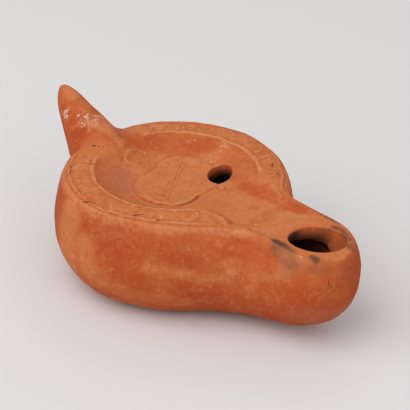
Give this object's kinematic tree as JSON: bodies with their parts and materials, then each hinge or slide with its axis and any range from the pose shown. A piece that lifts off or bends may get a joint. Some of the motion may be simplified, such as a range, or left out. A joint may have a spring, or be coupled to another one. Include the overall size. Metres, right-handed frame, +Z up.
{
  "type": "roman oil lamp",
  "caption": "Hollow mould-made terracotta oil lamp with a sunken figured disc, fill hole, channelled nozzle with wick hole, and a spike handle.",
  "frame": {"origin": "centre of the flat base, on the surface the lamp stands on", "axes": "+X towards the tip of the nozzle, +Z up, the spike handle at -X"},
  "size_m": [0.1261, 0.0816, 0.0528],
  "materials": {
    "terracotta": "matt orange-red fired clay, worn, sooted at the wick hole, with pale lime specks"
  },
  "bodies": {
    "root": {"lamp": "terracotta"}
  },
  "joints": []
}
